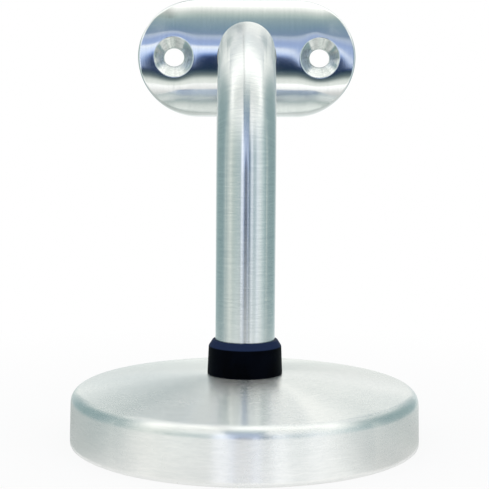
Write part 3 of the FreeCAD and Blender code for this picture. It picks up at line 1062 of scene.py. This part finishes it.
# %% Apron
APRON_INNER = 0.0384
APRON = around(
    (-180, (0.98, 1.01, 1.00)), (-150, (0.72, 0.76, 0.74)), (-128, (0.55, 0.58, 0.57)),
    (-108, (0.56, 0.59, 0.58)), (-97, (0.62, 0.65, 0.64)), (-88, (0.65, 0.68, 0.67)),
    (-79, (0.64, 0.67, 0.66)), (-70, (0.69, 0.72, 0.71)), (-62, (0.78, 0.80, 0.79)),
    (-51, (0.95, 0.95, 0.94)), (-40, (1.05, 1.04, 1.03)), (-33, (1.14, 1.13, 1.12)),
    (-26, (1.08, 1.07, 1.06)), (-20, (1.07, 1.06, 1.05)), (-13, (1.04, 1.03, 1.02)),
    (-6, (1.14, 1.13, 1.12)), (0, (1.22, 1.21, 1.20)), (7, (1.27, 1.26, 1.25)),
    (14, (1.28, 1.27, 1.26)), (20, (1.21, 1.20, 1.19)), (34, (1.18, 1.17, 1.16)),
    (41, (1.05, 1.04, 1.03)), (48, (0.91, 0.90, 0.89)), (56, (0.83, 0.83, 0.82)),
    (71, (0.85, 0.85, 0.84)), (80, (0.77, 0.79, 0.77)), (89, (0.70, 0.72, 0.71)),
    (98, (0.72, 0.73, 0.72)), (109, (0.69, 0.72, 0.71)), (121, (0.73, 0.76, 0.75)),
    (137, (0.82, 0.85, 0.84)), (179, (0.94, 0.99, 0.98)))


def apron_glow(tree):
    """Shades round the apron, times a factor that grows from 0.875 near the cap to 1.15."""
    radius = length_of(tree, sized(tree, own_place(tree), (1, 1, 0)))
    factor = between(tree, radius, 0.875, 1.15, 0.053, 0.095)
    shades = ramp_of(tree, turn_from_front(tree), APRON)
    return node(tree, "VectorMath", {0: shades, "Scale": factor}, operation="SCALE").outputs[0]


apron_points = ring_of((APRON_INNER, RING_INNER), (CARD_LIFT, CARD_LIFT))
card("apron", apron_points, 2, RING_COLUMNS, apron_glow, True)

# %% [markdown]
# #### Flags
# Two grey flags stand 20 cm out on both sides: dark low down, where they draw the rod's
# darker edges, and pale at the top, where the shoulder of the cap mirrors them.

# %% Side flags
def along(tree, axis, low, high, stops):
    """Colour along one axis of a card, from (place, colour) stops between low and high."""
    factor = between(tree, part_of(tree, axis), 0.0, 1.0, low, high)
    return ramp_of(tree, factor, [((at - low) / (high - low), tone) for at, tone in stops])


FLAG_X, FLAG_FRONT, FLAG_BACK, FLAG_HIGH = 0.20, -0.025, 0.335, 0.28
FLAG_SLOPE, PALE_FROM, PALE_FULL = 0.35, 0.22, 0.275


def flag_glow(tree):
    """Dark low down, as bright as the tent near the top. It turns pale as z + 0.35 y grows."""
    dark = along(tree, "Y", FLAG_FRONT, FLAG_BACK, [
        (-0.025, (0.62, 0.70, 0.68)), (-0.004, (0.40, 0.50, 0.51)), (0.031, (0.28, 0.39, 0.41)),
        (0.13, (0.28, 0.39, 0.40)), (0.22, (0.32, 0.43, 0.45)), (0.30, (0.46, 0.55, 0.56)),
        (0.335, (0.54, 0.62, 0.62))])
    tilt = maths(tree, "MULTIPLY", part_of(tree, "Y"), FLAG_SLOPE)
    height = maths(tree, "ADD", part_of(tree, "Z"), tilt)
    rise = between(tree, height, 0.0, 1.0, PALE_FROM, PALE_FULL)
    return mixed(tree, rise, dark, (1.06, 1.08, 1.05, 1))


for side, name in ((-1, "flag_left"), (1, "flag_right")):
    flag_points = np.array([[side * FLAG_X, y, z] for z in (0, FLAG_HIGH)
                            for y in (FLAG_FRONT, FLAG_BACK)])
    card(name, flag_points, 2, 2, flag_glow)

# %% [markdown]
# #### Front
# In front is the usual clutter behind a camera, which is what the saddle mirrors. From the
# bottom up it is a dark mat, a blue window and a grey wall. The lines of a real room are
# never quite level: the window's sill drops towards both ends, and its top slopes down to the
# right.

# %% Front card
FRONT_Y, FRONT_HIGH = -0.60, 1.32
MAT_Y, MAT_LIFT = -0.245, 0.6 * MM
front_outline = [(0.070, MAT_Y, MAT_LIFT), (0.105, FRONT_Y, MAT_LIFT), (0.110, FRONT_Y, 0.20),
                 (0.130, FRONT_Y, 0.42), (0.280, FRONT_Y, FRONT_HIGH)]
front_points = np.array([(side * half, y, z) for half, y, z in front_outline for side in (-1, 1)])


def at_elevation(angle, colour):
    """Ramp stop for what the saddle sees on the front card at this angle above level."""
    rise = RAIL_Z + (REACH_Y - FRONT_Y) * math.tan(math.radians(angle))
    return min(max(rise / FRONT_HIGH, 0), 1), colour


SILL_RIGHT, SILL_LEFT, HEAD_RIGHT = (34 * MM, 4.4), (-26 * MM, -3.4), (8 * MM, 2.6)
SILL_TOP, HEAD_FULL, HEAD_TOP = 0.25, 0.2, 0.6


def sloped_height(tree):
    """Height on the front card, as a part of its full height, with the low lines sloping.

    z + sill * max(1 - z / 0.25 m, 0) + head * min(z / 0.2 m, 1) * max(1 - z / 0.6 m, 0),
    with sill = max(4.4 (x - 34 mm), -3.4 (x + 26 mm), 0) and head = max(2.6 (x - 8 mm), 0),
    divided by the card's height.
    """
    x, z = part_of(tree, "X"), part_of(tree, "Z")

    def slope(start, factor):
        """Straight line that crosses zero at the start."""
        return maths(tree, "MULTIPLY", maths(tree, "SUBTRACT", x, start), factor)

    def fade(limit):
        """1 at the table, 0 from the limit up."""
        left = maths(tree, "SUBTRACT", 1.0, maths(tree, "DIVIDE", z, limit))
        return maths(tree, "MAXIMUM", left, 0.0)

    sill = maths(tree, "MAXIMUM", slope(*SILL_RIGHT), slope(*SILL_LEFT))
    sill = maths(tree, "MULTIPLY", maths(tree, "MAXIMUM", sill, 0.0), fade(SILL_TOP))
    head = maths(tree, "MAXIMUM", slope(*HEAD_RIGHT), 0.0)
    share = maths(tree, "MULTIPLY", maths(tree, "DIVIDE", z, HEAD_FULL, True), fade(HEAD_TOP))
    drop = maths(tree, "ADD", sill, maths(tree, "MULTIPLY", head, share))
    return maths(tree, "DIVIDE", maths(tree, "ADD", z, drop), FRONT_HIGH, True)


FRONT = [
    at_elevation(-16, (0.008, 0.025, 0.06)), at_elevation(5.0, (0.006, 0.022, 0.090)),
    at_elevation(7.6, (0.15, 0.27, 0.62)), at_elevation(10.4, (0.66, 0.81, 1.16)),
    at_elevation(16.0, (1.08, 1.12, 1.20)), at_elevation(18.2, (0.37, 0.49, 0.80)),
    at_elevation(24, (0.36, 0.46, 0.74)), at_elevation(27, (0.48, 0.57, 0.78)),
    at_elevation(30, (0.50, 0.58, 0.72)), at_elevation(32, (0.22, 0.31, 0.45)),
    at_elevation(41, (0.24, 0.35, 0.44)), at_elevation(52, (0.34, 0.44, 0.47)),
    at_elevation(58, (0.48, 0.58, 0.56))]
card("front_cards", front_points, 5, 2, lambda tree: ramp_of(tree, sloped_height(tree), FRONT))

# %% [markdown]
# The mat's soft edge is a card of its own, just above the mat: dark far out, pale close by.

# %% Mat edge
EDGE_HALF, EDGE_NEAR, EDGE_FAR, EDGE_LIFT = 0.085, -0.088, -0.36, 0.8 * MM
edge_points = rectangle(EDGE_HALF, EDGE_FAR, EDGE_NEAR, lambda x, y: (x, y, EDGE_LIFT))
card("mat_edge", edge_points, 2, 2, lambda tree: along(tree, "Y", EDGE_FAR, EDGE_NEAR, [
    (-0.36, (0.008, 0.025, 0.060)), (-0.30, (0.03, 0.06, 0.09)), (-0.25, (0.08, 0.12, 0.15)),
    (-0.21, (0.12, 0.16, 0.17)), (-0.18, (0.25, 0.30, 0.30)), (-0.155, (0.52, 0.57, 0.55)),
    (-0.13, (0.84, 0.87, 0.83)), (-0.088, (0.95, 0.97, 0.93))]))

# %% [markdown]
# #### Back
# Behind the bracket stands a pale wall with dark ends and one soft grey strip, left of the
# middle. The cap's crown mirrors it, so its left half looks darker than its right half.

# %% Back card
BACK_HALF, BACK_Y, BACK_LOW, BACK_HIGH = 0.30, 0.38, 0.055, 0.45
FAINT_TO, STRONG_FROM = 0.08, 0.20


def back_glow(tree):
    """The strip is faint low down and grows stronger on the way up."""
    low = along(tree, "X", -BACK_HALF, BACK_HALF, [
        (-0.30, (0.34, 0.45, 0.46)), (-0.20, (0.46, 0.55, 0.56)), (-0.17, (0.92, 0.95, 0.93)),
        (-0.13, (0.97, 0.99, 0.97)), (-0.11, (0.84, 0.88, 0.87)), (-0.075, (0.64, 0.70, 0.71)),
        (-0.04, (0.75, 0.80, 0.80)), (0.0, (0.83, 0.86, 0.84)), (0.06, (0.82, 0.84, 0.83)),
        (0.10, (0.87, 0.89, 0.88)), (0.17, (0.90, 0.92, 0.91)), (0.20, (0.46, 0.55, 0.56)),
        (0.30, (0.34, 0.45, 0.46))])
    high = along(tree, "X", -BACK_HALF, BACK_HALF, [
        (-0.30, (0.22, 0.31, 0.33)), (-0.185, (0.28, 0.37, 0.39)), (-0.15, (1.12, 1.14, 1.10)),
        (-0.13, (1.00, 1.03, 1.00)), (-0.118, (0.70, 0.75, 0.75)), (-0.10, (0.52, 0.58, 0.60)),
        (-0.075, (0.36, 0.43, 0.46)), (-0.055, (0.42, 0.48, 0.50)), (-0.035, (0.70, 0.74, 0.72)),
        (0.0, (1.05, 1.07, 1.03)), (0.035, (1.18, 1.19, 1.15)), (0.10, (1.14, 1.15, 1.12)),
        (0.15, (1.14, 1.16, 1.12)), (0.178, (0.24, 0.34, 0.40)), (0.30, (0.20, 0.30, 0.34))])
    rise = between(tree, part_of(tree, "Z"), 0.0, 1.0, FAINT_TO, STRONG_FROM)
    return mixed(tree, rise, low, high)


back_points = rectangle(BACK_HALF, BACK_LOW, BACK_HIGH, lambda x, z: (x, BACK_Y, z))
card("back_card", back_points, 2, 2, back_glow)

# %% [markdown]
# ### Lights
# Two long soft lights hang overhead. They give the floor its soft shadow. What metal sees of
# them is a card just below: bright, fading towards all its edges, with the narrow gap between
# the two lights left of the middle.

# %% Lights
def soft_light(name, place, aim, size, glow):
    """Rectangular area light of a given glow. Its power is pi x glow x area."""
    lamp = bpy.data.lights.new(name, "AREA")
    lamp.shape = "RECTANGLE"
    lamp.size, lamp.size_y = size
    lamp.energy = math.pi * glow * size[0] * size[1]
    thing = bpy.data.objects.new(name, lamp)
    bpy.context.scene.collection.objects.link(thing)
    thing.location = place
    thing.rotation_euler = (Vector(aim) - Vector(place)).to_track_quat("-Z", "Y").to_euler()
    thing.visible_camera = False
    thing.visible_glossy = False
    print("%s: %.2f W" % (name, lamp.energy))


LIGHT_X, LIGHT_Y, LIGHT_Z, LIGHT_SIZE, LIGHT_GLOW = 0.36, -0.01, 0.76, (0.58, 0.36), 1.2
for side, name in ((-1, "softbox_left"), (1, "softbox_right")):
    light_x = side * LIGHT_X
    soft_light(name, (light_x, LIGHT_Y, LIGHT_Z), (light_x, LIGHT_Y, 0), LIGHT_SIZE, LIGHT_GLOW)

# %% [markdown]
# The card under the lights is one rectangle. Its brightness is the product of two ramps, one
# along each side, so it fades both ways with only a few numbers.

# %% Ceiling card
CEILING_HALF, CEILING_FRONT, CEILING_BACK, CEILING_Z = 0.74, -0.42, 0.50, 0.755


def grey(value):
    """The same value for red, green and blue."""
    return (value, value, value)


def ceiling_glow(tree):
    """Product of a ramp along X, the lights' length and gap, and a ramp along Y."""
    over_x = along(tree, "X", -CEILING_HALF, CEILING_HALF, [
        (-0.74, grey(0.88)), (-0.50, grey(0.96)), (-0.13, grey(0.94)),
        (-0.105, grey(0.84)), (-0.09, grey(0.62)), (-0.075, grey(0.86)), (-0.05, grey(1.0)),
        (0.0, grey(1.07)), (0.08, grey(1.07)), (0.14, grey(1.0)), (0.50, grey(1.0)),
        (0.74, grey(0.90))])
    over_y = along(tree, "Y", CEILING_FRONT, CEILING_BACK, [
        (-0.42, (0.40, 0.49, 0.50)), (-0.363, (0.47, 0.56, 0.54)), (-0.283, (0.70, 0.74, 0.71)),
        (-0.20, (1.10, 1.10, 1.06)), (-0.15, (1.42, 1.42, 1.38)), (-0.05, (1.52, 1.53, 1.50)),
        (0.10, (1.40, 1.41, 1.38)), (0.18, (1.28, 1.29, 1.26)), (0.24, (1.00, 1.03, 1.03)),
        (0.31, (0.82, 0.87, 0.88)), (0.50, (0.70, 0.77, 0.80))])
    return mixed(tree, 1.0, over_x, over_y, blend_type="MULTIPLY", clamp_result=False)


ceiling_points = rectangle(CEILING_HALF, CEILING_FRONT, CEILING_BACK,
                           lambda x, y: (x, y, CEILING_Z))
card("ceiling_card", ceiling_points, 2, 2, ceiling_glow)

# %% [markdown]
# ## Camera
# The bracket is seen from 27 cm away, at a height just under the handrail, looking down by
# five degrees. So close, the near rim of the cap looks much wider than the plate behind.

# %% Camera
CAMERA_PLACE = (-0.26 * MM, -265.85 * MM, 67.04 * MM)
LOOK_DOWN, LEAN = 0.0903, 0.0069
FOCAL = 90.42
camera_data = bpy.data.cameras.new("camera")
camera_data.sensor_width = 36.0
camera_data.lens = FOCAL
camera_data.clip_start = 0.01
camera_data.clip_end = 50.0
camera = bpy.data.objects.new("camera", camera_data)
bpy.context.scene.collection.objects.link(camera)
turn = Matrix.Rotation(math.pi / 2 - LOOK_DOWN, 4, "X") @ Matrix.Rotation(LEAN, 4, "Z")
camera.matrix_world = Matrix.Translation(CAMERA_PLACE) @ turn
bpy.context.scene.camera = camera
bpy.context.scene.view_settings.view_transform = "Standard"
print("camera: %.0f mm lens, %.0f mm from the wall plane's centre" % (
    FOCAL, 1000 * Vector(CAMERA_PLACE).length))
